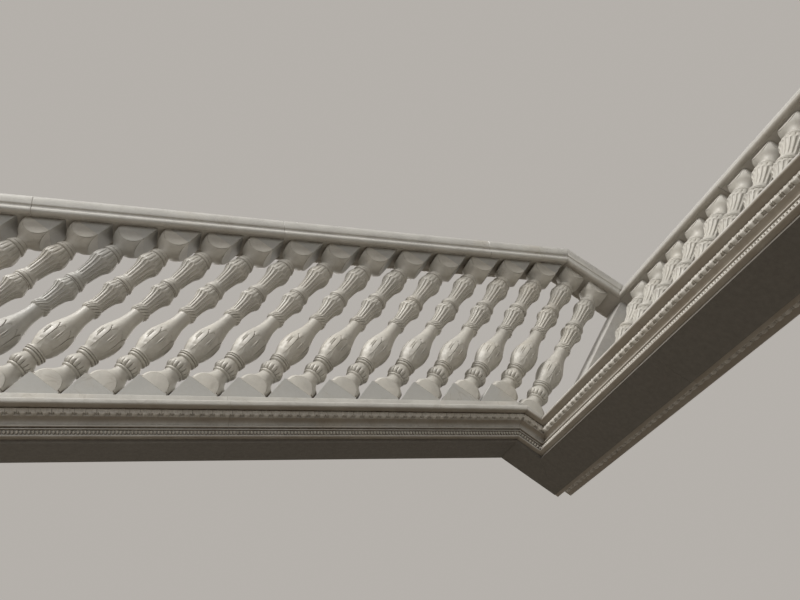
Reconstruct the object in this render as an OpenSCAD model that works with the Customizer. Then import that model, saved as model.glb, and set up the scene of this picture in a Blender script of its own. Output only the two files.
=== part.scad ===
// Stone balustrade of a stair and its gallery: a raked flight that climbs to a short level
// landing, turns a right angle at a corner pier, and runs on level along the gallery.
// Millimetres, Z up. The origin is on the flat underside of the gallery's first plinth
// stone, on the gallery's centre line. The flight lies along X and climbs towards the
// pier, and the gallery runs from the pier along -Y.

/* [Flight] */
// Distance on plan between the flight's balusters
flight_pitch = 120; // [100:1:200]
// Rise of the flight for each unit of going
rake_slope = 0.82; // [0.5:0.01:0.9]
// Balusters on the flight
flight_count = 20; // [6:1:24]
// Pitches covered by each stone of the flight's handrail
stone_pitches = 5.7; // [4:0.1:8]

/* [Gallery] */
// Distance between the gallery's balusters
gallery_pitch = 131; // [110:1:200]
// Balusters on each stone of the gallery
gallery_bay = 5; // [3:1:8]
// Number of whole bays of the gallery
gallery_bays = 2; // [1:1:3]
// Clear centre line distance from the pier's centre to the gap before its first baluster
gallery_start = 102; // [80:1:140]

/* [Baluster] */
// Height between plinth and handrail on the level
baluster_height = 804; // [600:1:900]
// Half the width of the square blocks
block_half = 53; // [45:1:70]
// How far the foot of a raked block runs out downhill, past its square
foot_lap = 7; // [0:1:12]
// Radius of the half-round faces on the foot block
foot_face = 45; // [30:1:50]
// Radius of the half-round faces on the head block
head_face = 48; // [30:1:50]
// Height of the centre of the head's half-round faces above a level baluster's top
head_rise = 18; // [0:1:20]
// Radius of the large bulb
bulb_radius = 49; // [38:1:52]
// Radius of the ball under the bulb
ball_radius = 43; // [32:1:50]
// Flutes around each vase
flute_count = 16; // [8:1:16]
// Depth of the flutes up the stem of a vase
flute_depth = 3.5; // [1:0.5:4]

/* [Handrail] */
// Half the width of the handrail
rail_half = 82; // [60:1:110]
// Height of the handrail above the balusters
rail_height = 80; // [60:1:120]

/* [Plinth] */
// Half the width of the projecting slab
slab_half = 141; // [100:1:180]
// Half the width of the kerb that the balusters stand on
kerb_half = 57; // [54:1:80]
// Height of the kerb above the slab
kerb_height = 58; // [20:1:80]
// Thickness of the slab at its edge
slab_edge = 13; // [8:1:40]
// Height of the mouldings under the slab
moulding_height = 90; // [60:1:140]
// Half the width at the foot of the mouldings
foot_half = 82; // [60:1:120]

/* [Hidden] */
$fn = 48;

marble = [0.80, 0.78, 0.74];
rake = atan(rake_slope);
big = 9000;
// How far a length runs on past a mitre before it is cut
past = 2 * slab_half;

// Levels of the level part, from the mount face up
slab_top = moulding_height + slab_edge + 7;
base_line = slab_top + kerb_height;
rail_line = base_line + baluster_height;

// Places on plan along the flight
last_pitch = 1.8955 * flight_pitch;
base_knee = -last_pitch;
rail_knee = base_knee - flight_pitch;
landing_x = base_knee + flight_pitch / 2;
// The corner pier stands this far behind the origin
pier_y = 430;

// Curves used by the turned and the run profiles, each a list of [out, up]
function ring(r, z, h, n = 5) =
  [for (i = [0:n]) let (a = -90 + 180 * i / n) [r - h / 2 + h / 2 * cos(a), z + h / 2 * sin(a)]];
function swell(r1, z1, r2, z2, n = 6) =
  [for (i = [0:n]) let (t = i / n) [r1 + (r2 - r1) * (1 - cos(180 * t)) / 2, z1 + (z2 - z1) * t]];
function round_out(r1, z1, r2, z2, n = 5) =
  [for (i = [0:n]) let (a = 90 * i / n) [r1 + (r2 - r1) * sin(a), z1 + (z2 - z1) * (1 - cos(a))]];
function hollow(r1, z1, r2, z2, n = 5) =
  [for (i = [0:n]) let (a = 90 * i / n) [r1 + (r2 - r1) * (1 - cos(a)), z1 + (z2 - z1) * sin(a)]];
function upside(p, h) = [for (i = [len(p) - 1:-1:0]) [p[i][0], h - p[i][1]]];
function both_sides(p) = concat(p, [for (i = [len(p) - 1:-1:0]) [-p[i][0], p[i][1]]]);

// A curve that bulges out towards its wide end, and one that narrows to a stem
function bulge(r1, z1, r2, z2, n = 6) =
  [for (i = [0:n]) let (t = i / n) [r1 + (r2 - r1) * sin(90 * t), z1 + (z2 - z1) * t]];
function bell(r1, z1, r2, z2, n = 5) =
  [for (i = [0:n]) let (t = 1 - i / n) [r2 + (r1 - r2) * t * t, z2 + (z1 - z2) * t]];

// A domed shoulder, centred at height 0, that leaves a half-round face of a given radius
// on each side of a square block
function dome(half, face, n = 6) =
  let (across = sqrt(half * half + face * face))
  [for (i = [0:n]) let (z = (face + 0.5) * sin(90 * i / n)) [sqrt(across * across - z * z), z]];
function raised(p, h) = [for (q = p) [q[0], q[1] + h]];

// The turned shape, from the foot up, drawn for a baluster 804 tall. The head is measured
// down from the top, and what lies between neck_line and the head stretches to fit.
drawn_height = 804;
neck_line = 151;
head_depth = 61;
stretch = (baluster_height - head_depth - neck_line) / (drawn_height - head_depth - neck_line);
function fitted(p) = [for (q = p) [q[0], neck_line + (q[1] - neck_line) * stretch]];
ledge = 1.5;
wide = 2 * block_half;
deep = 2 * flight_pitch;
neck = 27;
ball_neck = 29;
// The head's block is a little slimmer than the foot's
head_half = block_half - 3;
function foot_turning() = concat(
  [[0, -deep], [wide, -deep], [wide, ledge]], raised(dome(block_half, foot_face), ledge),
  bell(block_half - 1.5, foot_face + 3, 29.5, 91), ring(35.5, 97, 9, 4),
  [[34, 102]], round_out(35, 102.5, ball_radius, 117, 3),
  [for (q = [[0.92, 124], [0.48, 138], [0, 150]])
    [ball_neck + (ball_radius - ball_neck) * q[0], q[1]]]);
function bulb() = concat(
  ring(36.5, 157, 9, 4), ring(39, 170, 14, 5),
  [[33, 179]], bulge(33, 182, bulb_radius, 242),
  swell(bulb_radius, 249, neck, 364, 8), [[neck, 388]],
  [[31, 391], [33, 397], [31.5, 407], [29, 417]]);
// Points of the two vases that their flutes follow: foot, knee and lip
lower_flute = [[28.5, 424], [32.5, 472], [44.4, 502]];
upper_flute = [[29.5, 576], [33.5, 630], [46, 667]];
function lower_vase() = concat(
  [[28.5, 421]], lower_flute, [[43.6, 508], [39.7, 519], [35, 528],
  [37.5, 534]], ring(39.4, 545, 14, 4), [[34.5, 560], [31, 566]]);
function upper_vase() = concat(
  upper_flute, [[45.4, 676], [41.5, 693], [36.5, 706]],
  ring(39, 718, 16, 4), [[34, 733], [30, 738], [27.5, 743]]);
function head_turning() = raised(upside(concat(
  [[0, -deep], [wide, -deep], [wide, 0]], dome(head_half, head_face),
  bell(head_half - 1.5, head_face + 1.5, 27.5, 78)), 0), baluster_height + head_rise);

// A square bar that lies on the turned surface and cuts a flute with a sharp root
module cutter(from, to, depth, overrun) {
  low = fitted([from])[0];
  high = fitted([to])[0];
  lean = atan((high[0] - low[0]) / (high[1] - low[1]));
  translate([low[0], 0, low[1]]) rotate([0, lean, 0])
    cylinder(r = depth, h = (high[1] - low[1]) / cos(lean) + overrun, $fn = 4);
}
// The flutes of both vases: up the stem, then deeper out over the lip, which they scallop
module flutes() {
  for (i = [1:flute_count]) rotate([0, 0, 360 * i / flute_count])
    for (v = [lower_flute, upper_flute]) {
      cutter(v[0] + [0.2, 4], v[1] + [0.2, 0], flute_depth, 3);
      cutter(v[1] + [0.3, -1], v[2], 1.4 * flute_depth, 6);
    }
}

module turned() {
  difference() {
    rotate_extrude() polygon(concat(
      foot_turning(), fitted(concat(bulb(), lower_vase(), upper_vase())), head_turning()));
    flutes();
  }
}

// A baluster keeps the square of a block about its foot and its head, and all of the
// shaft that is turned between them
shaft_foot = 92;
shaft_head = baluster_height - head_depth;
module square_of(half, low, high) {
  translate([-half, -half, low]) cube([2 * half, 2 * half, high - low]);
}
module level_baluster() {
  intersection() {
    turned();
    union() {
      square_of(block_half, 0, shaft_foot);
      square_of(wide, shaft_foot, shaft_head);
      square_of(head_half, shaft_head, baluster_height);
    }
  }
}

// The side view of a baluster on the rake, whose block ends in a slope at the foot and,
// apart from the last one's, at the head
function on_rake(x, z) = [x, z + (x + flight_pitch / 2) * rake_slope];
module seen_from_side(half, points) {
  translate([0, half, 0]) rotate([90, 0, 0]) linear_extrude(2 * half) polygon(points);
}
module raked_block(raked_head) {
  foot = -block_half - min(foot_lap, flight_pitch - 2 * block_half - 1);
  top = baluster_height;
  seen_from_side(block_half,
    [[foot, 0], on_rake(foot, -flight_pitch * rake_slope),
     on_rake(block_half, -flight_pitch * rake_slope), [block_half, shaft_foot],
     [-block_half, shaft_foot], [-block_half, 0]]);
  square_of(wide, shaft_foot, shaft_head);
  seen_from_side(head_half, concat(
    [[-head_half, shaft_head], [head_half, shaft_head]],
    raked_head ? [on_rake(head_half, top), on_rake(-head_half, top)]
               : [[head_half, top], [-head_half, top]]));
}

// Balusters are counted up the flight, and the last one meets the level rail
module flight_baluster(number) {
  down = flight_count - number;
  translate([base_knee - (down + 0.5) * flight_pitch, 0,
             base_line - down * flight_pitch * rake_slope])
    intersection() {
      turned();
      raked_block(down > 0);
    }
}

module gallery_baluster(number) {
  translate([0, -gallery_start - (number - 0.5) * gallery_pitch, base_line])
    level_baluster();
}

// Section of the handrail: a half-round below, a hollow, and a fascia with a soft top
function rail_section() = both_sides(concat(
  [[0, 0], [rail_half - 23, 0], [rail_half - 22, -3]],
  [for (i = [0:6]) let (a = -90 + 180 * i / 6)
    [rail_half - 14 + 14 * cos(a), 9 + 14 * sin(a)]],
  [[rail_half - 14, 27], [rail_half - 7, 30], [rail_half - 2, 31]],
  [[rail_half - 2, rail_height - 9]],
  round_out(rail_half - 2, rail_height - 9, rail_half - 14, rail_height - 1, 3),
  [[0, rail_height]]));

// Section of the plinth: kerb, projecting slab, leaf moulding, cove, fillet and bead band
function plinth_section() = both_sides(concat(
  [[0, 0], [foot_half - 2, 0], [foot_half - 2, 3], [foot_half + 3, 3], [foot_half + 3, 7],
   [foot_half, 8], [foot_half, 29], [foot_half - 3, 30], [foot_half - 3, 33],
   [foot_half + 6, 34], [foot_half + 6, 43]],
  hollow(foot_half + 2, 44, foot_half + 19, 68, 5),
  [[foot_half + 21, 69], [foot_half + 21, 72]],
  swell(foot_half + 22, 73, foot_half + 33, moulding_height - 3, 4),
  [[foot_half + 26, moulding_height - 3], [foot_half + 26, moulding_height + 1]],
  [[slab_half - 3, moulding_height + 4], [slab_half, moulding_height + 7],
   [slab_half, slab_top - 5]],
  [[slab_half - 4, slab_top - 1], [kerb_half + 8, slab_top]],
  hollow(kerb_half + 8, slab_top, kerb_half, slab_top + 8, 3),
  [[kerb_half, base_line - 2], [kerb_half - 2, base_line], [0, base_line]]));

// Sets a piece drawn about the corner pier into the part's frame
module placed() { color(marble) translate([0, pier_y, 0]) children(); }

// A length of moulding along +X, its section upright
module length_of(section, long) {
  rotate([90, 0, 90]) linear_extrude(long) polygon(section);
}

// A raked length between two places up the slope, measured on plan from the knee.
// The section's line at height `up` passes through the knee.
module raked(section, knee_x, knee_z, up, from, to) {
  slope_len = 1 / cos(rake);
  translate([knee_x, 0, knee_z]) rotate([0, -rake, 0])
    translate([from * slope_len, 0, -up]) length_of(section, (to - from) * slope_len);
}

// Everything on the downhill side of the mitre between rake and level
module downhill(knee_x, knee_z) {
  translate([knee_x, 0, knee_z]) rotate([0, -rake / 2, 0])
    translate([-big, -big / 2, -big / 2]) cube([big, big, big]);
}

// Everything on the flight's side of the mitre at the corner pier
module flight_side() {
  rotate([0, 0, -45]) translate([-big, -big / 2, -big / 2]) cube([big, big, big]);
}

function rail_end(number) = -flight_pitch * (2.4 + stone_pitches * (3 - number));
flight_foot = -flight_pitch * (3.4 + stone_pitches * 3);

module flight_rail(number) {
  from = number == 1 ? flight_foot + flight_pitch : rail_end(number - 1);
  to = number == 4 ? past : rail_end(number);
  if (number == 4)
    intersection() {
      raked(rail_section(), rail_knee, rail_line, 0, from, to);
      downhill(rail_knee, rail_line);
    }
  else
    raked(rail_section(), rail_knee, rail_line, 0, from, to);
}

module level_corner(section, knee_x, knee_z, up) {
  intersection() {
    difference() {
      translate([knee_x - past, 0, knee_z - up]) length_of(section, 2 * past - knee_x);
      downhill(knee_x, knee_z);
    }
    flight_side();
  }
}

module gallery_run(section, z, from, to, mitred) {
  difference() {
    translate([0, mitred ? past : -from, z]) rotate([0, 0, -90])
      length_of(section, mitred ? to + past : to - from);
    if (mitred) flight_side();
  }
}

function gallery_end(bay) = gallery_start + bay * gallery_bay * gallery_pitch;

// The plain square shaft that stands at the turn
module corner_pier() {
  placed() translate([-block_half, -block_half, base_line])
    cube([2 * block_half, 2 * block_half, baluster_height]);
}

module landing_baluster() { placed() translate([landing_x, 0, base_line]) level_baluster(); }
module landing_rail() { placed() level_corner(rail_section(), rail_knee, rail_line, 0); }
module landing_plinth() {
  placed() level_corner(plinth_section(), base_knee, base_line, base_line);
}

// The flight's plinth is three equal stones, and the last ends on the mitre
module flight_plinth(number) {
  from = flight_foot * (4 - number) / 3;
  if (number == 3)
    intersection() {
      raked(plinth_section(), base_knee, base_line, base_line, from, past);
      downhill(base_knee, base_line);
    }
  else
    raked(plinth_section(), base_knee, base_line, base_line, from, from - flight_foot / 3);
}

module flight_baluster_01() { placed() flight_baluster(1); }
module flight_baluster_02() { placed() flight_baluster(2); }
module flight_baluster_03() { placed() flight_baluster(3); }
module flight_baluster_04() { placed() flight_baluster(4); }
module flight_baluster_05() { placed() flight_baluster(5); }
module flight_baluster_06() { placed() flight_baluster(6); }
module flight_baluster_07() { placed() flight_baluster(7); }
module flight_baluster_08() { placed() flight_baluster(8); }
module flight_baluster_09() { placed() flight_baluster(9); }
module flight_baluster_10() { placed() flight_baluster(10); }
module flight_baluster_11() { placed() flight_baluster(11); }
module flight_baluster_12() { placed() flight_baluster(12); }
module flight_baluster_13() { placed() flight_baluster(13); }
module flight_baluster_14() { placed() flight_baluster(14); }
module flight_baluster_15() { placed() flight_baluster(15); }
module flight_baluster_16() { placed() flight_baluster(16); }
module flight_baluster_17() { placed() flight_baluster(17); }
module flight_baluster_18() { placed() flight_baluster(18); }
module flight_baluster_19() { placed() flight_baluster(19); }
module flight_baluster_20() { placed() flight_baluster(20); }
module gallery_baluster_01() { placed() gallery_baluster(1); }
module gallery_baluster_02() { placed() gallery_baluster(2); }
module gallery_baluster_03() { placed() gallery_baluster(3); }
module gallery_baluster_04() { placed() gallery_baluster(4); }
module gallery_baluster_05() { placed() gallery_baluster(5); }
module gallery_baluster_06() { placed() gallery_baluster(6); }
module gallery_baluster_07() { placed() gallery_baluster(7); }
module gallery_baluster_08() { placed() gallery_baluster(8); }
module gallery_baluster_09() { placed() gallery_baluster(9); }
module gallery_baluster_10() { placed() gallery_baluster(10); }
module flight_rail_1() { placed() flight_rail(1); }
module flight_rail_2() { placed() flight_rail(2); }
module flight_rail_3() { placed() flight_rail(3); }
module flight_rail_4() { placed() flight_rail(4); }
module flight_plinth_1() { placed() flight_plinth(1); }
module flight_plinth_2() { placed() flight_plinth(2); }
module flight_plinth_3() { placed() flight_plinth(3); }
module gallery_rail_1() { placed() gallery_run(rail_section(), rail_line, 0, gallery_end(1), true); }
module gallery_rail_2() {
  placed() gallery_run(rail_section(), rail_line, gallery_end(1), gallery_end(2), false);
}
module gallery_plinth_1() { placed() gallery_run(plinth_section(), 0, 0, gallery_end(1), true); }
module gallery_plinth_2() {
  placed() gallery_run(plinth_section(), 0, gallery_end(1), gallery_end(2), false);
}

flight_baluster_01();
flight_baluster_02();
flight_baluster_03();
flight_baluster_04();
flight_baluster_05();
flight_baluster_06();
flight_baluster_07();
flight_baluster_08();
flight_baluster_09();
flight_baluster_10();
flight_baluster_11();
flight_baluster_12();
flight_baluster_13();
flight_baluster_14();
flight_baluster_15();
flight_baluster_16();
flight_baluster_17();
flight_baluster_18();
flight_baluster_19();
flight_baluster_20();
landing_baluster();
corner_pier();
gallery_baluster_01();
gallery_baluster_02();
gallery_baluster_03();
gallery_baluster_04();
gallery_baluster_05();
gallery_baluster_06();
gallery_baluster_07();
gallery_baluster_08();
gallery_baluster_09();
gallery_baluster_10();
flight_rail_1();
flight_rail_2();
flight_rail_3();
flight_rail_4();
landing_rail();
gallery_rail_1();
gallery_rail_2();
flight_plinth_1();
flight_plinth_2();
flight_plinth_3();
landing_plinth();
gallery_plinth_1();
gallery_plinth_2();
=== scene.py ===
import math
import random

import bmesh
import bpy
import numpy as np
from mathutils import Matrix, Vector


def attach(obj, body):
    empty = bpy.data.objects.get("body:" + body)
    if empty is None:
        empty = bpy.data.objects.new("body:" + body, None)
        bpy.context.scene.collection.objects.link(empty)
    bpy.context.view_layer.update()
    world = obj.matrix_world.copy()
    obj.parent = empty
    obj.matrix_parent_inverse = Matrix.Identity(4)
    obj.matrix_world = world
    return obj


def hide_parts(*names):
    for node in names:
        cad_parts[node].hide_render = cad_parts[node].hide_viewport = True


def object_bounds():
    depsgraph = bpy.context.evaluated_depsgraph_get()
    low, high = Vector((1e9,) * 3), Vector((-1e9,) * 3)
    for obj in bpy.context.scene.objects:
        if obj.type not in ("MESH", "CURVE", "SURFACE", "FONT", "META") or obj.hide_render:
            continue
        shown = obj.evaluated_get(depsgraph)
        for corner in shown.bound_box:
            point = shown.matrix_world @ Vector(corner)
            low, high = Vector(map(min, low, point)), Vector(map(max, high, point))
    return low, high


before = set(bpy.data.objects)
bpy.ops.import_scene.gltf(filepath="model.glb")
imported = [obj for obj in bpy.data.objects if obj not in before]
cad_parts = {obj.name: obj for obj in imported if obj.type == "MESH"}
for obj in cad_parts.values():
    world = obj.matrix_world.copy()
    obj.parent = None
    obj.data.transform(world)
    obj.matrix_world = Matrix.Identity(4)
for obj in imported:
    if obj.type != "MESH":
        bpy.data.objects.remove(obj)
cad_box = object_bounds()
dice = random.Random(31)

# Sizes in millimetres, most of them as in part.scad
FLIGHT_PITCH = 120.0
RAKE_SLOPE = 0.82
RAKE = math.atan(RAKE_SLOPE)
FLIGHT_COUNT = 20
STONE_PITCHES = 5.7
GALLERY_PITCH = 131.0
GALLERY_BAY = 5
GALLERY_BAYS = 2
GALLERY_START = 102.0
PIER_Y = 430.0
BALUSTER_HEIGHT = 804.0
BLOCK_HALF = 53.0
HEAD_HALF = 50.0
FOOT_LAP = 7.0
FOOT_FACE = 45.0
HEAD_FACE = 48.0
HEAD_RISE = 18.0
LEDGE = 1.5
RAIL_HALF = 82.0
RAIL_HEIGHT = 80.0
SLAB_HALF = 141.0
KERB_HALF = 57.0
FOOT_HALF = 82.0
MOULDING = 90.0
SLAB_TOP = 110.0
BED_TOP = 12.0
BASE_LINE = 168.0
RAIL_LINE = BASE_LINE + BALUSTER_HEIGHT
BASE_KNEE = -1.8955 * FLIGHT_PITCH
RAIL_KNEE = BASE_KNEE - FLIGHT_PITCH
FLIGHT_FOOT = -FLIGHT_PITCH * (3.4 + STONE_PITCHES * 3)
TO_PIER = Vector((0, PIER_Y, 0))

# How far arrises are worn back, and how far a stone stops short of each of its joints
BLOCK_ARRIS = 0.4
WEDGE_ARRIS = 0.35
WEDGE_JOINT = 0.12
RAIL_WEAR = (1.0, 0.35)
PLINTH_WEAR = (0.5, 0.12)

# Carving: points round the shaft, places that the collar's rope climbs, and lengths of a unit
SPOKES = 96
PLAIN_SPOKES = 40
ROPE_TWIST = 2
LEAF_PITCH = 30.0
BEAD_PITCH = 10.6

MM = 0.001
WEDGE_MARK = 10.0


# Camera, lamps and stage

def place_camera():
    """The photograph's own camera, solved from points measured in it."""
    focal_pixels, picture_width, sensor = 721.3, 800.0, 36.0
    right = Vector((0.820576, -0.299802, 0.486593))
    down = Vector((0.561193, 0.583891, -0.58663))
    ahead = Vector((-0.108244, 0.754447, 0.647374))
    lens = bpy.data.cameras.new("camera")
    lens.sensor_width = sensor
    lens.lens = focal_pixels * sensor / picture_width
    lens.clip_start = 0.01
    camera = bpy.data.objects.new("camera", lens)
    bpy.context.scene.collection.objects.link(camera)
    turn = Matrix((right, -down, -ahead)).transposed().to_4x4()
    camera.matrix_world = Matrix.Translation((-0.5116, -1.7334, -1.5588)) @ turn
    bpy.context.scene.camera = camera


def area_lamp(name, place, aim, size, watts, tint, spread=180.0):
    data = bpy.data.lights.new(name, "AREA")
    data.shape = "DISK"
    data.size = size
    data.spread = math.radians(spread)
    data.energy = watts
    data.color = tint
    lamp = bpy.data.objects.new(name, data)
    lamp.location = place
    lamp.rotation_euler = (Vector(aim) - Vector(place)).to_track_quat("-Z", "Y").to_euler()
    bpy.context.scene.collection.objects.link(lamp)


# Finishes

class Wire:
    """A shader socket that adds a Math node where it meets an arithmetic sign."""

    def __init__(self, finish, socket):
        self.finish, self.socket = finish, socket

    def maths(self, operation, *values):
        return self.finish.node("ShaderNodeMath", {"operation": operation},
                                dict(enumerate(values)))

    def __add__(self, other):
        return self.maths("ADD", self, other)

    def __sub__(self, other):
        return self.maths("SUBTRACT", self, other)

    def __rsub__(self, other):
        return self.maths("SUBTRACT", other, self)

    def __mul__(self, other):
        return self.maths("MULTIPLY", self, other)

    def __abs__(self):
        return self.maths("ABSOLUTE", self)

    __radd__ = __add__
    __rmul__ = __mul__


class Finish:
    """The nodes of a material or of the room's light."""

    def __init__(self, owner):
        owner.use_nodes = True
        self.owner, self.tree = owner, owner.node_tree
        self.shader = self.tree.nodes.get("Principled BSDF")

    def put(self, value, socket):
        if isinstance(value, Wire):
            self.tree.links.new(value.socket, socket)
        elif isinstance(value, tuple) and socket.type == "RGBA":
            socket.default_value = (*value, 1.0)[:4]
        else:
            socket.default_value = value

    def node(self, kind, settings=None, inputs=None, output=0):
        made = self.tree.nodes.new(kind)
        for key, value in (settings or {}).items():
            setattr(made, key, value)
        for key, value in (inputs or {}).items():
            self.put(value, made.inputs[key])
        return Wire(self, made.outputs[output])

    def noise(self, where, scale, detail=3.0, rough=0.5, warp=0.0):
        return self.node("ShaderNodeTexNoise", None, {
            "Vector": where, "Scale": scale, "Detail": detail, "Roughness": rough,
            "Distortion": warp})

    def between(self, value, low, high):
        return self.node("ShaderNodeMapRange", {"interpolation_type": "SMOOTHSTEP"},
                         {"Value": value, "From Min": low, "From Max": high})

    def blend(self, factor, a, b):
        return self.node("ShaderNodeMix", {"data_type": "RGBA"}, {0: factor, 6: a, 7: b}, 2)

    def vector(self, operation, a, b):
        return self.node("ShaderNodeVectorMath", {"operation": operation}, {0: a, 1: b})


def marble(name, pale, grey, grime_and_shade_depth, rough, underside_shade_amount=0.6):
    """Clouded marble with broken veins, grime mixed with painted shade in its hollows, and painted
    brown shade on its undersides.

    Points marked WEDGE_MARK or more are the greyer wedges, and faces marked bed are mortar.
    """
    make = Finish(bpy.data.materials.new(name))
    place = make.node("ShaderNodeNewGeometry", output="Position")
    facing = make.node("ShaderNodeSeparateXYZ", None,
                       {0: make.node("ShaderNodeNewGeometry", output="Normal")}, "Z")
    stone = make.node("ShaderNodeAttribute", {"attribute_name": "stone"}, output="Fac")
    bed = make.node("ShaderNodeAttribute", {"attribute_name": "bed"}, output="Fac")
    shift = make.node("ShaderNodeCombineXYZ", None,
                      {0: stone * 7.3, 1: stone * 3.1, 2: stone * 5.9})
    where = make.vector("ADD", place, shift)
    wander = make.noise(where, 5.0, 3.0, 0.6)
    cloud = make.noise(where, 9.0, 5.0, 0.62, 0.6)
    fleck = make.noise(where, 70.0, 4.0, 0.65)
    vein_line = abs(make.noise(where, 6.5, 4.0, 0.55, 1.4) - 0.5)
    vein = (1 - make.between(vein_line, 0.0, 0.02)) * make.between(wander, 0.46, 0.66)
    hair_line = abs(make.noise(where, 19.0, 3.0, 0.5, 0.9) - 0.5)
    hair = (1 - make.between(hair_line, 0.0, 0.014)) * make.between(cloud, 0.5, 0.66)
    # Painted shade mixed with grime: ambient occlusion darkens the hollows, mottled by flecks
    shut_in = make.node("ShaderNodeAmbientOcclusion", {"samples": 8}, {"Distance": grime_and_shade_depth},
                        output="AO")
    grime_and_hollow_shade = make.between(1 - shut_in, 0.22, 0.9) * (0.55 + 0.9 * make.between(fleck, 0.35, 0.7))
    # Painted shade: faces that look downward are turned brown
    underside_shade = make.between(0 - facing, 0.1, 0.9) * (0.6 + 0.5 * cloud)
    inset = make.between(stone, WEDGE_MARK - 0.1, WEDGE_MARK)
    body = make.blend(make.between(cloud, 0.36, 0.68), pale, grey)
    body = make.blend(inset * 0.8, body, (0.44, 0.445, 0.435))
    body = make.blend(make.between(wander, 0.52, 0.8) * 0.4, body, (0.52, 0.465, 0.375))
    body = make.blend(vein * 0.3, body, (0.27, 0.24, 0.2))
    body = make.blend(hair * 0.2, body, (0.32, 0.28, 0.23))
    body = make.blend((fleck - 0.5) * 0.35 + 0.06, body, (0.36, 0.33, 0.28))
    # Painted brown shade on the undersides
    body = make.blend(underside_shade * underside_shade_amount, body, (0.29, 0.24, 0.18))
    # Painted shade with grime in the hollows, blended toward dark brown
    body = make.blend(grime_and_hollow_shade * 0.85, body, (0.17, 0.135, 0.095))
    mortar = make.blend(fleck, (0.12, 0.11, 0.095), (0.21, 0.195, 0.17))
    body = make.blend(bed, body, mortar)
    make.put(body, make.shader.inputs["Base Color"])
    make.put(rough + 0.16 * cloud + 0.2 * grime_and_hollow_shade + 0.3 * bed, make.shader.inputs["Roughness"])
    tool = make.noise(where, 160.0, 4.0, 0.6) + 0.8 * make.noise(where, 38.0, 3.0, 0.5)
    make.put(make.node("ShaderNodeBump", None, {
        "Strength": 0.35, "Distance": 0.0009, "Height": tool * (1 + 3 * bed)}),
        make.shader.inputs["Normal"])
    make.shader.inputs["Specular IOR Level"].default_value = 0.45
    return make.owner


def plain_stage(name, colour):
    make = Finish(bpy.data.materials.new(name))
    where = make.node("ShaderNodeNewGeometry", output="Position")
    shade = make.between(make.noise(where, 1.3, 2.0), 0.2, 0.8)
    make.put(make.blend(shade, colour, tuple(c * 0.97 for c in colour)),
             make.shader.inputs["Base Color"])
    make.shader.inputs["Roughness"].default_value = 0.9
    return make.owner


def light_room():
    """A dim warm room, seen behind the stone as a plain pale backdrop."""
    make = Finish(bpy.data.worlds.new("room light"))
    bpy.context.scene.world = make.owner
    room = make.tree.nodes["Background"]
    room.inputs["Color"].default_value = (1.0, 0.87, 0.72, 1)
    room.inputs["Strength"].default_value = 0.185
    camera = make.node("ShaderNodeLightPath", output="Is Camera Ray")
    seen = camera.maths("MAXIMUM", camera,
                        make.node("ShaderNodeLightPath", output="Is Glossy Ray"))
    backdrop = make.node("ShaderNodeBackground", None, {"Color": (0.46, 0.435, 0.405)})
    choice = make.node("ShaderNodeMixShader", None,
                       {0: seen, 1: Wire(make, room.outputs[0]), 2: backdrop})
    make.put(choice, make.tree.nodes["World Output"].inputs["Surface"])


# Mesh helpers

def add_piece(name, points, faces, material, stone, sharp=32.0):
    """A piece from points in millimetres, smooth but for edges sharper than an angle."""
    mesh = bpy.data.meshes.new(name)
    mesh.from_pydata((np.asarray(points) * MM).tolist(), [], faces)
    mesh.materials.append(material)
    mesh.shade_smooth()
    mesh.set_sharp_from_angle(angle=math.radians(sharp))
    mark = mesh.attributes.new("stone", "FLOAT", "POINT")
    mark.data.foreach_set("value", np.full(len(mesh.vertices), stone, dtype=np.float32))
    piece = bpy.data.objects.new(name, mesh)
    bpy.context.scene.collection.objects.link(piece)
    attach(piece, "root")
    return piece


def bevelled(points, faces, width, angle=35.0):
    """The same shell with its sharp arrises worn back, as points and faces."""
    mesh = bpy.data.meshes.new("arris")
    mesh.from_pydata([tuple(p) for p in points], [], faces)
    work = bmesh.new()
    work.from_mesh(mesh)
    bmesh.ops.recalc_face_normals(work, faces=work.faces)
    edges = [e for e in work.edges if len(e.link_faces) == 2
             and e.calc_face_angle(0.0) > math.radians(angle)]
    bmesh.ops.bevel(work, geom=edges, offset=width, offset_type="OFFSET", segments=1,
                    profile=0.5, affect="EDGES", clamp_overlap=True)
    work.verts.index_update()
    out = ([tuple(v.co) for v in work.verts], [[v.index for v in f.verts] for f in work.faces])
    work.free()
    bpy.data.meshes.remove(mesh)
    return out


def joined(parts):
    points, faces = [], []
    for some_points, some_faces in parts:
        base = len(points)
        points.extend(some_points)
        faces.extend([[base + i for i in face] for face in some_faces])
    return points, faces


# The square blocks, whose domed shoulder leaves a half-round on each face

def bell(r1, z1, r2, z2):
    """The hollow curve by which a shoulder narrows to the stem."""
    steps = 5
    return [(r2 + (r1 - r2) * t * t, z2 + (z1 - z2) * t)
            for t in [1 - i / steps for i in range(steps + 1)]]


def shoulder(low, high, across, steps):
    """Rises up a dome from a half-round's edge: the angle, and how deep a groove is cut."""
    room = high - low
    reach = min(1.0, room * across / 8.0)
    out = [(low + min(way / across, part * room), sink * reach)
           for way, part, sink in ((1.5, 0.15, 0.0), (2.1, 0.22, 1.5), (4.2, 0.4, 1.5),
                                   (4.9, 0.48, 0.0))]
    start = out[-1][0]
    return out + [(start + (high - start) * i / steps, 0.0) for i in range(1, steps + 1)]


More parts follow.
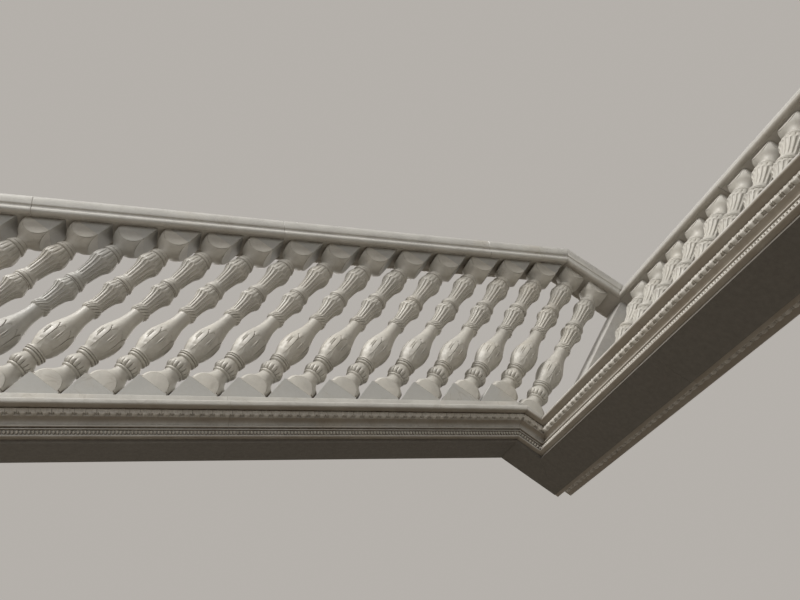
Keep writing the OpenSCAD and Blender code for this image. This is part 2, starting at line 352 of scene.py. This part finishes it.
def block(half, face, seat, neck, cuts):
    """A foot block about height 0, with its dome and neck, cut off below by each bed."""
    across = math.hypot(half, face)
    deep = -190.0
    work = bmesh.new()
    arc_steps, dome_steps = 12, 3
    columns, corners = [], []
    for side in range(4):
        turn = side * math.pi / 2
        spin = lambda x, y: (x * math.cos(turn) - y * math.sin(turn),
                             x * math.sin(turn) + y * math.cos(turn))
        arc = []
        for i in range(arc_steps + 1):
            b = -math.pi / 2 + math.pi * i / arc_steps
            x, y = spin(face * math.sin(b), -half)
            arc.append(work.verts.new((x, y, seat + face * math.cos(b))))
        x, y = spin(half, -half)
        corner = work.verts.new((x, y, seat))
        x, y = spin(across * math.sin(math.pi / 4), -across * math.cos(math.pi / 4))
        mid = work.verts.new((x, y, seat))
        columns += arc + [mid]
        corners.append((arc, corner, mid))
    high = math.asin((face + 0.5) / across)
    rises = [shoulder(math.asin(min(1.0, max(0.0, (v.co.z - seat) / across))), high, across,
                      dome_steps) for v in columns]
    rings = [columns]
    for j in range(dome_steps + 4):
        ring = []
        for v, steps in zip(columns, rises):
            bearing, (angle, sink) = math.atan2(v.co.y, v.co.x), steps[j]
            r = (across - sink) * math.cos(angle)
            ring.append(work.verts.new((r * math.cos(bearing), r * math.sin(bearing),
                                        seat + (across - sink) * math.sin(angle))))
        rings.append(ring)
    for r, z in neck:
        rings.append([work.verts.new((r * math.cos(b), r * math.sin(b), z))
                      for b in [math.atan2(v.co.y, v.co.x) for v in columns]])
    n = len(columns)
    for low, above in zip(rings, rings[1:]):
        for i in range(n):
            work.faces.new((low[i], low[(i + 1) % n], above[(i + 1) % n], above[i]))
    work.faces.new(list(reversed(rings[-1])))
    for side in range(4):
        arc, corner, mid = corners[side]
        after = corners[(side + 1) % 4][0][0]
        work.faces.new((arc[-1], corner, after, mid))
    low_corners = [work.verts.new((c.co.x, c.co.y, deep)) for _, c, _ in corners]
    for side in range(4):
        arc, corner, _ = corners[side]
        work.faces.new((low_corners[side - 1], low_corners[side], corner, *reversed(arc),
                        corners[side - 1][1]))
    bmesh.ops.recalc_face_normals(work, faces=work.faces)
    for level, slope in cuts:
        bmesh.ops.bisect_plane(work, geom=work.verts[:] + work.edges[:] + work.faces[:],
                               plane_co=(0, 0, level), clear_inner=True,
                               plane_no=Vector((-slope, 0, 1)).normalized())
        rim = [e for e in work.edges if len(e.link_faces) == 1]
        bmesh.ops.holes_fill(work, edges=rim, sides=0)
    bmesh.ops.recalc_face_normals(work, faces=work.faces)
    work.verts.index_update()
    points = [tuple(v.co) for v in work.verts]
    faces = [[v.index for v in f.verts] for f in work.faces]
    work.free()
    return bevelled(points, faces, BLOCK_ARRIS)


def wedge(half, outline):
    """The raked stone between a block and its bed, from its outline seen from the side."""
    points = [(x, y, z) for y in (-half, half) for x, z in outline]
    n = len(outline)
    faces = [[i, (i + 1) % n, n + (i + 1) % n, n + i] for i in range(n)]
    return bevelled(points, faces + [list(range(n)), list(range(n, 2 * n))],
                    WEDGE_ARRIS)


def foot_block(raked):
    neck = bell(BLOCK_HALF - 1.5, FOOT_FACE + 3, 29.5, 91)
    shell = block(BLOCK_HALF, FOOT_FACE, LEDGE, neck, [(0.0, 0.0)])
    if not raked:
        return shell, ([], [])
    bed = lambda x: (x - FLIGHT_PITCH / 2) * RAKE_SLOPE
    low, high = -BLOCK_HALF - FOOT_LAP, BLOCK_HALF
    return shell, wedge(BLOCK_HALF, [(low, bed(low)), (high, bed(high)), (high, -WEDGE_JOINT),
                                     (low, -WEDGE_JOINT)])


def head_block(raked):
    """The foot's form turned over about X, so that its downhill side stays downhill."""
    neck = bell(HEAD_HALF - 1.5, HEAD_FACE + 1.5, 27.5, 78)
    bed = HEAD_RISE - FLIGHT_PITCH / 2 * RAKE_SLOPE
    cuts = [(0.0, 0.0), (bed, -RAKE_SLOPE)] if raked else [(HEAD_RISE, 0.0)]
    shells = [block(HEAD_HALF, HEAD_FACE, 0.0, neck, cuts), ([], [])]
    if raked:
        meets = (bed + WEDGE_JOINT) / RAKE_SLOPE
        shells[1] = wedge(HEAD_HALF, [(meets, -WEDGE_JOINT), (HEAD_HALF, -WEDGE_JOINT),
                                      (HEAD_HALF, bed - HEAD_HALF * RAKE_SLOPE)])
    top = BALUSTER_HEIGHT + HEAD_RISE
    return [([(x, -y, top - z) for x, y, z in points], faces) for points, faces in shells]


# The turned and carved shaft. Its outlines are lists of (radius, height).

BALL_LINE = [(31, 101), (35, 103), (38.5, 106.5), (41, 111), (42.3, 117), (41.5, 124), (39, 131),
             (35.5, 138), (31.5, 145), (29, 151), (28.5, 153)]
BULB_LINE = [(32, 176), (33.4, 182), (37.3, 190), (41.5, 200), (44.6, 210), (47.1, 220),
             (48.7, 230), (49.4, 240), (49.4, 250), (48.8, 260), (47, 270), (44.6, 280),
             (41.9, 290), (39.3, 300), (36.6, 310), (34, 320), (31.7, 330), (29.6, 340),
             (28, 350), (27.1, 362), (27, 388), (29.4, 390), (31.6, 392.5), (32.8, 397),
             (32.8, 402), (31.6, 408), (30, 414), (28.6, 418), (28.5, 421), (28.5, 440),
             (29.4, 450), (30.6, 460), (32, 470), (34.3, 480), (38.4, 490), (43, 498.5),
             (44.4, 503), (42.6, 510), (39.7, 519), (36.2, 526), (34, 531), (33, 536)]
UPPER_LINE = [(29, 564), (29.5, 576), (30.6, 595), (31.5, 610), (32.4, 620), (33.7, 630),
              (35.7, 640), (38.6, 650), (42.7, 659), (45.6, 668), (45.4, 676), (43, 688),
              (40, 698), (36.8, 706), (35, 712)]


def arc_row(r, z, h, n):
    return [(r - h / 2 + h / 2 * math.cos(a), z + h / 2 * math.sin(a))
            for a in [math.radians(-90 + 180 * i / n) for i in range(n + 1)]]


def cut_row(line, z, places, lifts, rises=None, twist=0.0):
    """One level of carving, from one unit's spokes: their places, lifts and rises."""
    within = np.arange(SPOKES) % len(places)
    unit = np.arange(SPOKES) // len(places)
    turn = (unit + twist + np.array(places)[within]) * len(places) / SPOKES * 2 * math.pi
    level = z + (np.zeros(SPOKES) if rises is None else np.array(rises)[within])
    r = np.interp(level, [q[1] for q in line], [q[0] for q in line])
    return turn, r + np.array(lifts)[within], level


def lobe_row(z, slit):
    """The ball's gadroons, sixteen round lobes that fade above its widest part."""
    places = (0, 0.08, 0.27, 0.5, 0.73, 0.92)
    return cut_row(BALL_LINE, z, places, [slit * f for f in (-1, -0.3, 0.06, 0.16, 0.06, -0.3)])


def rope_row(z, turned, deep):
    """The collar's rope, whose strands climb by two places from its foot to its top."""
    places = (0, 0.1, 0.3, 0.52, 0.75, 0.92)
    lifts = [deep * f for f in (-1, -0.25, 0.3, 0.42, 0.2, -0.4)]
    return cut_row(BULB_LINE, z, places, lifts, None, ROPE_TWIST * turned)


def flute_row(line, z, deep, twist=0, rises=None):
    """A vase's sixteen hollow flutes, with thin flat ribs between them."""
    places = (-0.09, 0.09, 0.27, 0.38, 0.62, 0.73)
    lifts = (-deep, -deep, -0.74 * deep, 0.2, 0.2, -0.74 * deep)
    return cut_row(line, z, places, lifts, rises, twist)


def petal_row(line, z, swell, twist=0):
    """The petals over a vase's lip, one above each flute, with dark lines between."""
    places = (-0.14, 0.14, 0.35, 0.46, 0.54, 0.65)
    lifts = [swell * f for f in (0.55, 0.55, 0.1, -1.3, -1.3, 0.1)]
    return cut_row(line, z, places, lifts, None, twist)


def vase_lip(line, z, deep, twist=0):
    """Where the flutes close under the lip in round heads: their depth, roof and edge."""
    arch = np.array((5.0, 5.0, 3.6, 0.0, 0.0, 3.6))
    return [flute_row(line, z, deep, twist), flute_row(line, z + 1.2, deep * 0.6, twist, arch),
            flute_row(line, z + 3.0, -0.1, twist, arch)]


def ramp(value, start, end):
    return min(1.0, max(0.0, (value - start) / (end - start)))


def near(value, centre, reach):
    return max(0.0, 1 - abs(value - centre) / reach)


def leaf_row(z):
    """One level of the bulb: six leaves with curled tips, and six more behind them."""
    wide = 0.55 + 0.39 * math.sin(math.pi / 2 * ramp(z, 184, 226))
    tip = ramp(z, 252, 286)
    wide *= math.sqrt(max(0.0, 1 - tip ** 2))
    if tip < 1:
        inner = np.minimum(np.array([0, 0.065, 0.17, 0.28, 0.6 * wide, wide]),
                           wide * np.array([0.001, 0.18, 0.36, 0.55, 0.8, 1.0]) + 0.02)
        spread = np.concatenate([inner, [wide + 0.05, (wide + 0.05 + 1) / 2, 1.0]])
        spread[0] = 0.0
    else:
        spread = np.array([0, 0.1, 0.2, 0.32, 0.45, 0.56, 0.67, 0.84, 1.0])
    lift = np.zeros(9)
    if tip < 1:
        on = ramp(z, 183, 192)
        eye = ramp(z, 228, 234) * ramp(-z, -266, -260)
        lift[0] = 0.9 - 3.4 * eye
        lift[1] = 0.5 - 0.4 * eye
        lift[2] = 0.9 + 0.9 * ramp(z, 218, 234)
        lift[3] = 0.6 - 2.6 * ramp(z, 218, 228) * ramp(-z, -262, -254)
        lift[4] = 0.9 + 0.5 * math.cos((z - 214) / 9.0)
        lift[5] = 0.5 + 0.5 * ramp(z, 240, 262)
        lift[:6] += 1.5 * near(z, 272, 14)
        lift[4] -= 4.0 * near(z, 208, 6.5)
        lift[3] += 1.2 * near(z, 198, 7) - 1.6 * near(z, 206, 5)
        lift[6] = -3.0
        lift[7] = -2.2 + 1.6 * ramp(z, 252, 266)
        lift[8] = -2.4 + 2.6 * ramp(z, 254, 268)
        if z < 226:
            lift[6] = lift[7] = lift[8] = -1.9
            lift[8] += 1.5 * near(z, 200, 12)
        lift *= 0.7 * on
    back = ramp(-z, -314, -309) * ramp(z, 262, 276)
    lift[8] += 0.9 * back - 3.0 * near(z, 301, 5.5)
    lift[7] += 0.9 * back - 0.8 * near(z, 301, 4.0)
    places = [spread[i] / 2 if i <= 8 else 1 - spread[16 - i] / 2 for i in range(16)]
    lifts = [lift[i] if i <= 8 else lift[16 - i] for i in range(16)]
    return cut_row(BULB_LINE, z, places, lifts)


def turned_rows(line):
    bearing = np.arange(PLAIN_SPOKES) / PLAIN_SPOKES * 2 * math.pi
    return [(bearing, np.full(PLAIN_SPOKES, r), np.full(PLAIN_SPOKES, z)) for r, z in line]


def stacked(rows):
    """A closed shell from rows of points round the shaft, each its bearings, radii, heights."""
    turn, r, z = (np.array([row[i] for row in rows]) for i in range(3))
    count = turn.shape[1]
    points = np.stack([r * np.cos(turn), r * np.sin(turn), z], axis=2).reshape(-1, 3)
    faces = []
    for j in range(len(rows) - 1):
        low, high = j * count, (j + 1) * count
        for i in range(count):
            k = (i + 1) % count
            faces.append([low + i, low + k, high + k, high + i])
    faces.append(list(range(count))[::-1])
    faces.append(list(range((len(rows) - 1) * count, len(rows) * count)))
    return points.tolist(), faces


def ball_rows():
    slits = [(101.6, 1.5), (102.8, 3.4), (106, 4.6), (110.5, 5.2), (115, 5.0), (119, 3.8),
             (122.5, 1.8), (126, 0.5), (131, 0), (141, 0), (152, 0)]
    return [lobe_row(z, slit) for z, slit in slits]


def bulb_and_lower_vase_rows():
    rows = [leaf_row(z) for z in (177, 181, 185, 189, 193, 197, 201, 204.5, 208, 211.5, 215, 219,
                                  224, 228, 231.5, 235, 240, 247, 254, 258, 262, 266, 270, 275,
                                  280, 283.5, 286.5, 291, 296, 300, 304, 309, 314, 322, 331,
                                  341, 354, 385)]
    rows += [rope_row(z, (z - 388) / 32, deep) for z, deep in (
        (388.6, 0.3), (390.2, 1.6), (392.8, 2.6), (397, 3.0), (402, 3.0), (407, 2.8), (411.5, 2.4),
        (415.5, 1.8), (418.8, 0.6))]
    t = ROPE_TWIST
    rows += [flute_row(BULB_LINE, z, deep, t) for z, deep in (
        (420.5, 0.4), (422.5, 1.4), (426, 2.1), (434, 2.5), (452, 2.8), (468, 3.1), (479, 3.4),
        (486.5, 3.6))]
    rows += vase_lip(BULB_LINE, 492.5, 3.3, t)
    rows += [petal_row(BULB_LINE, z, swell, t) for z, swell in (
        (502.8, 0.5), (507, 1.2), (513, 1.5), (520, 1.4), (528, 0.9), (535, 0.4))]
    return rows


def upper_vase_rows():
    line = UPPER_LINE
    rows = [flute_row(line, z, deep) for z, deep in (
        (565, 0), (575, 0.4), (577.5, 1.4), (582, 2.2), (592, 2.6), (610, 2.8), (626, 3.0),
        (638, 3.3), (648, 3.6))]
    rows += vase_lip(line, 657.0, 3.3)
    rows += [petal_row(line, z, swell) for z, swell in (
        (667.5, 0.5), (671.5, 1.2), (678, 1.6), (687, 1.6), (696, 1.3), (704, 0.9), (710, 0.4))]
    return rows


def shaft():
    foot_ring = [(28, 88)] + arc_row(35.5, 97, 9, 5) + [(31.5, 102.2), (28, 103)]
    neck_rings = [(26, 150), (31, 151.6)] + arc_row(36.5, 157, 9, 5) + [(31.6, 162.2)]
    neck_rings += arc_row(38.2, 165.8, 6, 4) + [(34.6, 169.4)] + arc_row(39.3, 173.2, 7, 5)
    neck_rings += [(33, 177.6), (28, 179)]
    waist = [(28, 532), (36.4, 533.4), (36.8, 536.6), (33.8, 538)] + arc_row(39.4, 545, 13, 6)
    waist += [(34.6, 552.4), (35, 555), (34.4, 560), (31.2, 565.4), (27, 567)]
    crown = [(28, 707), (36.6, 707.6), (36.6, 709.8), (33.8, 710.6)] + arc_row(39, 718.4, 14, 6)
    crown += [(34.4, 726.4), (34.6, 728.6), (34, 733), (30.4, 736.4), (30.6, 739.2), (27.4, 741.6),
              (26.8, 745)]
    turnings = [stacked(turned_rows(line)) for line in (foot_ring, neck_rings, waist, crown)]
    carvings = [stacked(rows) for rows in (ball_rows(), bulb_and_lower_vase_rows(),
                                           upper_vase_rows())]
    return joined(turnings + carvings)


def baluster_maker(raked_foot, raked_head):
    """One baluster about its own foot, the shaft's points first and the wedges' last."""
    shaft_points, shaft_faces = shaft()
    foot, foot_wedge = foot_block(raked_foot)
    head, head_wedge = head_block(raked_head)
    solid = joined([(shaft_points, shaft_faces), foot, head])
    points, faces = joined([solid, foot_wedge, head_wedge])
    return np.array(points), faces, len(shaft_points), len(solid[0])


def set_baluster(name, pattern, x, y, z, material):
    points, faces, turned, stone_points = pattern
    points = points.copy()
    turn = math.radians(dice.uniform(-1.5, 1.5))
    c, s = math.cos(turn), math.sin(turn)
    px, py = points[:turned, 0].copy(), points[:turned, 1].copy()
    points[:turned, 0], points[:turned, 1] = c * px - s * py, s * px + c * py
    points += (x, y + PIER_Y, z)
    stone = np.full(len(points), dice.random() * WEDGE_MARK)
    stone[stone_points:] += WEDGE_MARK
    piece = add_piece(name + "_carved", points, faces, material, stone)
    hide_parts(name)


def set_balusters(material):
    on_rake = baluster_maker(True, True)
    at_knee = baluster_maker(True, False)
    level = baluster_maker(False, False)
    for k in range(1, FLIGHT_COUNT + 1):
        down = FLIGHT_COUNT - k
        set_baluster(f"flight_baluster_{k:02d}", on_rake if down else at_knee,
                     BASE_KNEE - (down + 0.5) * FLIGHT_PITCH, 0,
                     BASE_LINE - down * FLIGHT_PITCH * RAKE_SLOPE, material)
    set_baluster("landing_baluster", level, BASE_KNEE + FLIGHT_PITCH / 2, 0, BASE_LINE, material)
    for k in range(1, GALLERY_BAY * GALLERY_BAYS + 1):
        set_baluster(f"gallery_baluster_{k:02d}", level, 0,
                     -GALLERY_START - (k - 0.5) * GALLERY_PITCH, BASE_LINE, material)


# Rail and plinth, run along the flight, the landing and the gallery

def hollow_quarter(r1, z1, r2, z2, n):
    return [(r1 + (r2 - r1) * (1 - math.cos(a)), z1 + (z2 - z1) * math.sin(a))
            for a in [math.pi / 2 * i / n for i in range(n + 1)]]


def wave(r1, z1, r2, z2, n):
    """A curve that starts and ends upright, as the ground of the leaves does."""
    return [(r1 + (r2 - r1) * (1 - math.cos(math.pi * i / n)) / 2, z1 + (z2 - z1) * i / n)
            for i in range(n + 1)]


def rail_section():
    """Half the rail's outline, as (out, up) from the middle of its underside."""
    h = RAIL_HALF
    half = [(h - 23, 0), (h - 22, -3)]
    half += [(h - 14 + 14 * math.cos(a), 9 + 14 * math.sin(a))
             for a in [math.radians(-90 + 16 * i) for i in range(10)]]
    half += [(h - 7, 23.5), (h - 7, 27.5), (h - 5.4, 30.4), (h - 2.8, 32), (h - 1.6, 39),
             (h - 1.1, 48), (h - 1.6, 57), (h - 3.2, 65), (h - 5.6, 70.5), (h - 9.5, 74.5),
             (h - 16, 77), (h - 26, 78.4)]
    return [(0, 0), *half, (0, RAIL_HEIGHT - 0.5)]


def plinth_section():
    """Half the plinth's outline: bed, fillets, bead recess, band, cove, leaf ground, slab, kerb."""
    f = FOOT_HALF
    half = [(f - 16, 0), (f - 16, BED_TOP), (f - 3, BED_TOP + 0.5), (f, 13), (f + 2, 14.2),
            (f + 2, 18.4), (f + 0.8, 19.4), (f - 3.4, 20), (f - 3.4, 35), (f + 1, 35.5),
            (f + 2.4, 36.5), (f + 2.4, 39), (f + 1, 39.8), (f - 4, 40.2), (f - 4, 42.4),
            (f + 5, 43), (f + 6.6, 44.2), (f + 6.6, 47.8), (f + 5, 49), (f + 0.5, 50),
            (f - 0.8, 55), (f + 0.4, 60), (f + 4, 64.4), (f + 10, 67.2), (f + 19, 68.4),
            (f + 21, 69), (f + 21, 72)]
    half += wave(f + 22, 73, f + 33, MOULDING - 3, 5)
    half += [(f + 26, MOULDING - 3), (f + 26, MOULDING - 0.6), (SLAB_HALF - 5, MOULDING - 0.6),
             (SLAB_HALF - 2.6, MOULDING), (SLAB_HALF, MOULDING + 3), (SLAB_HALF, SLAB_TOP - 5),
             (SLAB_HALF - 4, SLAB_TOP - 1), (KERB_HALF + 8, SLAB_TOP)]
    half += hollow_quarter(KERB_HALF + 8, SLAB_TOP, KERB_HALF, SLAB_TOP + 8, 4)
    half += [(KERB_HALF, BASE_LINE - 2), (KERB_HALF - 2, BASE_LINE)]
    return [(0, 0), *half, (0, BASE_LINE)]


class Run:
    """A straight length of the balustrade: which way it goes, and its upright."""

    def __init__(self, knee_x, knee_z, up, slope=0.0, bearing=0.0):
        self.ahead = Vector((math.cos(slope) * math.cos(bearing),
                             math.cos(slope) * math.sin(bearing), math.sin(slope)))
        self.out = Vector((math.sin(bearing), -math.cos(bearing), 0.0))
        self.up = Vector((-math.sin(slope) * math.cos(bearing),
                          -math.sin(slope) * math.sin(bearing), math.cos(slope)))
        self.knee = Vector((knee_x, 0.0, knee_z))
        self.level = up

    def at(self, out, z, along=0.0):
        return self.knee + self.out * out + self.up * (z - self.level) + self.ahead * along

    def meet(self, out, z, plane):
        """How far along a line of the section meets a plane, given as point and normal."""
        place, normal = plane
        return (place - self.at(out, z)).dot(normal) / self.ahead.dot(normal)

    def square(self, along):
        return self.at(0, self.level, along), self.ahead


PLINTH_FLIGHT = Run(BASE_KNEE, BASE_LINE, BASE_LINE, RAKE)
PLINTH_LANDING = Run(BASE_KNEE, BASE_LINE, BASE_LINE)
PLINTH_GALLERY = Run(0.0, BASE_LINE, BASE_LINE, 0.0, -math.pi / 2)
RAIL_FLIGHT = Run(RAIL_KNEE, RAIL_LINE, 0.0, RAKE)
RAIL_LANDING = Run(RAIL_KNEE, RAIL_LINE, 0.0)
RAIL_GALLERY = Run(0.0, RAIL_LINE, 0.0, 0.0, -math.pi / 2)
LEAN = Vector((math.cos(RAKE / 2), 0.0, math.sin(RAKE / 2)))
TURN = Vector((math.sqrt(0.5), -math.sqrt(0.5), 0.0))
PLINTH_BEND = (Vector((BASE_KNEE, 0, BASE_LINE)), LEAN)
RAIL_BEND = (Vector((RAIL_KNEE, 0, RAIL_LINE)), LEAN)
CORNER = (Vector((0.0, 0.0, 0.0)), TURN)


def set_stone(name, section, run, start, end, material, slot, wear):
    """A stone of the run, a hair short at each end so that its joints show."""
    arris, short = wear
    outline = section + [(-x, z) for x, z in reversed(section[1:-1])]
    points = []
    for plane, inset in ((start, short), (end, -short)):
        for x, z in outline:
            points.append(run.at(x, z, run.meet(x, z, plane) + inset) + TO_PIER)
    n = len(outline)
    faces = [[i, (i + 1) % n, n + (i + 1) % n, n + i] for i in range(n)]
    faces += [list(range(n))[::-1], list(range(n, 2 * n))]
    points, faces = bevelled(points, faces, arris, 30.0)
    piece = add_piece(name + "_stone", points, faces, material,
                      dice.random() * WEDGE_MARK)
    if slot == "plinth_marble":
        foot = run.at(0, BED_TOP - 0.2) + TO_PIER
        mark = piece.data.attributes.new("bed", "FLOAT", "FACE")
        mark.data.foreach_set("value", [
            1.0 if (f.center / MM - foot).dot(run.up) < 0 and abs(f.normal.dot(run.ahead)) < 0.9
            else 0.0 for f in piece.data.polygons])
    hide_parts(name)


def set_rail(material):
    section = rail_section()
    per = 1 / math.cos(RAKE)
    ends = [FLIGHT_FOOT + FLIGHT_PITCH] + [-FLIGHT_PITCH * (2.4 + STONE_PITCHES * (3 - n))
                                           for n in (1, 2, 3)]
    cuts = [RAIL_FLIGHT.square(e * per) for e in ends] + [RAIL_BEND]
    for n in range(4):
        set_stone(f"flight_rail_{n + 1}", section, RAIL_FLIGHT, cuts[n], cuts[n + 1], material,
                  "rail_marble", RAIL_WEAR)
    set_stone("landing_rail", section, RAIL_LANDING, RAIL_BEND, CORNER, material, "rail_marble",
              RAIL_WEAR)
    bay = GALLERY_BAY * GALLERY_PITCH
    cuts = [CORNER] + [RAIL_GALLERY.square(GALLERY_START + bay * n) for n in (1, 2)]
    for n in range(2):
        set_stone(f"gallery_rail_{n + 1}", section, RAIL_GALLERY, cuts[n], cuts[n + 1], material,
                  "rail_marble", RAIL_WEAR)


def set_plinth(material):
    section = plinth_section()
    per = 1 / math.cos(RAKE)
    cuts = [PLINTH_FLIGHT.square(FLIGHT_FOOT * (4 - n) / 3 * per) for n in (1, 2, 3)]
    cuts += [PLINTH_BEND]
    for n in range(3):
        set_stone(f"flight_plinth_{n + 1}", section, PLINTH_FLIGHT, cuts[n], cuts[n + 1],
                  material, "plinth_marble", PLINTH_WEAR)
    set_stone("landing_plinth", section, PLINTH_LANDING, PLINTH_BEND, CORNER, material,
              "plinth_marble", PLINTH_WEAR)
    bay = GALLERY_BAY * GALLERY_PITCH
    cuts = [CORNER] + [PLINTH_GALLERY.square(GALLERY_START + bay * n) for n in (1, 2)]
    for n in range(2):
        set_stone(f"gallery_plinth_{n + 1}", section, PLINTH_GALLERY, cuts[n], cuts[n + 1],
                  material, "plinth_marble", PLINTH_WEAR)


# The leaf course and the bead course

def leaf_unit(wide):
    """A leaf with a raised rim and a curled tip, and the dart beside it, as points and faces."""
    across, down = 12, 5
    front = []
    for j in range(down + 1):
        b = j / down
        for i in range(across + 1):
            a = -1 + 2 * i / across
            main = max(0.0, 1 - (a / 0.68) ** 2)
            dart = max(0.0, 1 - ((abs(a) - 1) / 0.25) ** 2)
            z = MOULDING - 1.2 - b * (11.0 + 9.0 * main ** 0.5 + 5.5 * dart ** 0.6)
            fall = min(1.0, max(0.0, (MOULDING - 4 - z) / 19))
            out = FOOT_HALF + 21 + 13 * math.sqrt(1 - fall ** 2)
            if z > MOULDING - 4:
                out -= 3.0 * ((z - MOULDING + 4) / 2.8) ** 2
            lift = 1.9 * max(main ** 0.4, dart ** 0.5) - 1.0
            lift += 2.4 * near(b, 0.86, 0.26) * main ** 0.3
            lift += 1.8 * main * ramp(b, 0.6, 1.0)
            lift -= 3.0 * near(abs(a), 0.3, 0.24) * near(b, 0.5, 0.42)
            lift += 1.3 * near(a, 0.0, 0.15) * (1 - b)
            front.append((a * wide / 2, out + lift, z))
    cols = across + 1
    faces = [[j * cols + i, j * cols + i + 1, (j + 1) * cols + i + 1, (j + 1) * cols + i]
             for j in range(down) for i in range(across)]
    rim = ([i for i in range(cols)] + [j * cols + across for j in range(1, down + 1)]
           + [down * cols + i for i in range(across - 1, -1, -1)]
           + [j * cols for j in range(down - 1, 0, -1)])
    back = [(front[i][0], min(front[i][1] - 3.0, FOOT_HALF + 20), front[i][2]) for i in rim]
    base = len(front)
    n = len(rim)
    faces += [[rim[(i + 1) % n], rim[i], base + i, base + (i + 1) % n] for i in range(n)]
    faces += [[base + i for i in range(n)][::-1]]
    return front + back, faces


def bead_unit():
    """One bead of the course, taller than it is long, as points and faces."""
    sides, belts = 8, 4
    points, faces = [], []
    for j in range(1, belts):
        a = math.pi * j / belts
        for i in range(sides):
            b = 2 * math.pi * i / sides
            points.append((4.4 * math.sin(a) * math.cos(b),
                           FOOT_HALF - 2.2 + 6.8 * math.sin(a) * math.sin(b),
                           27.3 + 6.6 * math.cos(a)))
    points += [(0, FOOT_HALF - 2.2, 33.9), (0, FOOT_HALF - 2.2, 20.7)]
    for j in range(belts - 2):
        for i in range(sides):
            k = (i + 1) % sides
            faces.append([j * sides + i, j * sides + k, (j + 1) * sides + k, (j + 1) * sides + i])
    last = (belts - 2) * sides
    for i in range(sides):
        k = (i + 1) % sides
        faces.append([len(points) - 2, k, i])
        faces.append([len(points) - 1, last + i, last + k])
    return points, faces


def course(unit, run, start, end, out, z, pitch, side):
    """Copies of a unit along one side of a run, none quite alike, as points and faces."""
    points, faces = unit
    from_s, to_s = run.meet(side * out, z, start), run.meet(side * out, z, end)
    count = max(1, int(round((to_s - from_s) / pitch)))
    step = (to_s - from_s) / count
    local = np.array(points)
    parts, shapes = [], []
    for i in range(count):
        s = from_s + (i + 0.5) * step
        size = dice.uniform(0.95, 0.985)
        along = local[:, 0] * (step / pitch) * size * side + s + dice.uniform(-0.2, 0.2)
        place = (np.array(run.knee)[None, :] + along[:, None] * np.array(run.ahead)
                 + (side * local[:, 1] + side * dice.uniform(-0.3, 0.3))[:, None]
                 * np.array(run.out)
                 + (local[:, 2] - run.level)[:, None] * np.array(run.up))
        parts.append(place)
        shapes.append([[i * len(points) + v for v in face] for face in faces])
    return np.concatenate(parts), [face for shape in shapes for face in shape]


def set_courses(material):
    bay = GALLERY_BAY * GALLERY_PITCH
    foot = PLINTH_FLIGHT.square(FLIGHT_FOOT / math.cos(RAKE))
    gallery_end = PLINTH_GALLERY.square(GALLERY_START + bay * GALLERY_BAYS)
    runs = [("flight", PLINTH_FLIGHT, foot, PLINTH_BEND),
            ("landing", PLINTH_LANDING, PLINTH_BEND, CORNER),
            ("gallery", PLINTH_GALLERY, CORNER, gallery_end)]
    for kind, unit, out, z, pitch in (
            ("leaves", leaf_unit(LEAF_PITCH), 110, 80, LEAF_PITCH),
            ("beads", bead_unit(), FOOT_HALF, 27.5, BEAD_PITCH)):
        for name, run, start, end in runs:
            for side, word in ((1, "front"), (-1, "back")):
                points, faces = course(unit, run, start, end, out, z, pitch, side)
                points = points + (0, PIER_Y, 0)
                add_piece(f"{name}_{kind}_{word}", points, faces, material,
                          dice.random() * WEDGE_MARK, 60.0)


# Making it

place_camera()
# The fourth argument is how far the painted shade of hollows reaches; the sixth is how much painted
# brown shade falls on undersides (0.6 where not given)
carved_marble = marble("carved baluster marble", (0.60, 0.58, 0.53), (0.50, 0.485, 0.445),
                       0.02, 0.4, 0.05)
rail_marble = marble("handrail marble", (0.65, 0.645, 0.615), (0.57, 0.565, 0.54), 0.02, 0.18)
plinth_marble = marble("plinth marble", (0.57, 0.56, 0.525), (0.48, 0.47, 0.44), 0.05, 0.36, 0.9)
course_marble = marble("carved course marble", (0.63, 0.605, 0.555), (0.54, 0.515, 0.465),
                       0.01, 0.36, 0.15)
pier_marble = marble("pier marble", (0.56, 0.55, 0.52), (0.48, 0.47, 0.45), 0.02, 0.34)
set_balusters(carved_marble)
set_rail(rail_marble)
set_plinth(plinth_marble)
set_courses(course_marble)
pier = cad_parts["corner_pier"]
pier.data.materials.clear()
pier.data.materials.append(pier_marble)

floor_level = cad_box[0][2]
bpy.ops.mesh.primitive_plane_add(size=60, location=(0, 0, floor_level))
floor = bpy.context.object
floor.name = "floor"
floor.data.materials.append(plain_stage("pale floor", (0.50, 0.48, 0.45)))

light_room()
middle = (-1.2, 0.0, -0.3)
area_lamp("window light", (-8.6, -2.0, 2.0), middle, 3.6, 140, (1.0, 0.985, 0.96), 75.0)
area_lamp("fill light", (-3.8, -5.6, 0.2), middle, 3.2, 56, (0.97, 0.985, 1.0))
area_lamp("back light", (-1.0, 6.5, 2.6), middle, 4.0, 90, (1.0, 0.96, 0.9))

bpy.context.scene.view_settings.view_transform = "Standard"
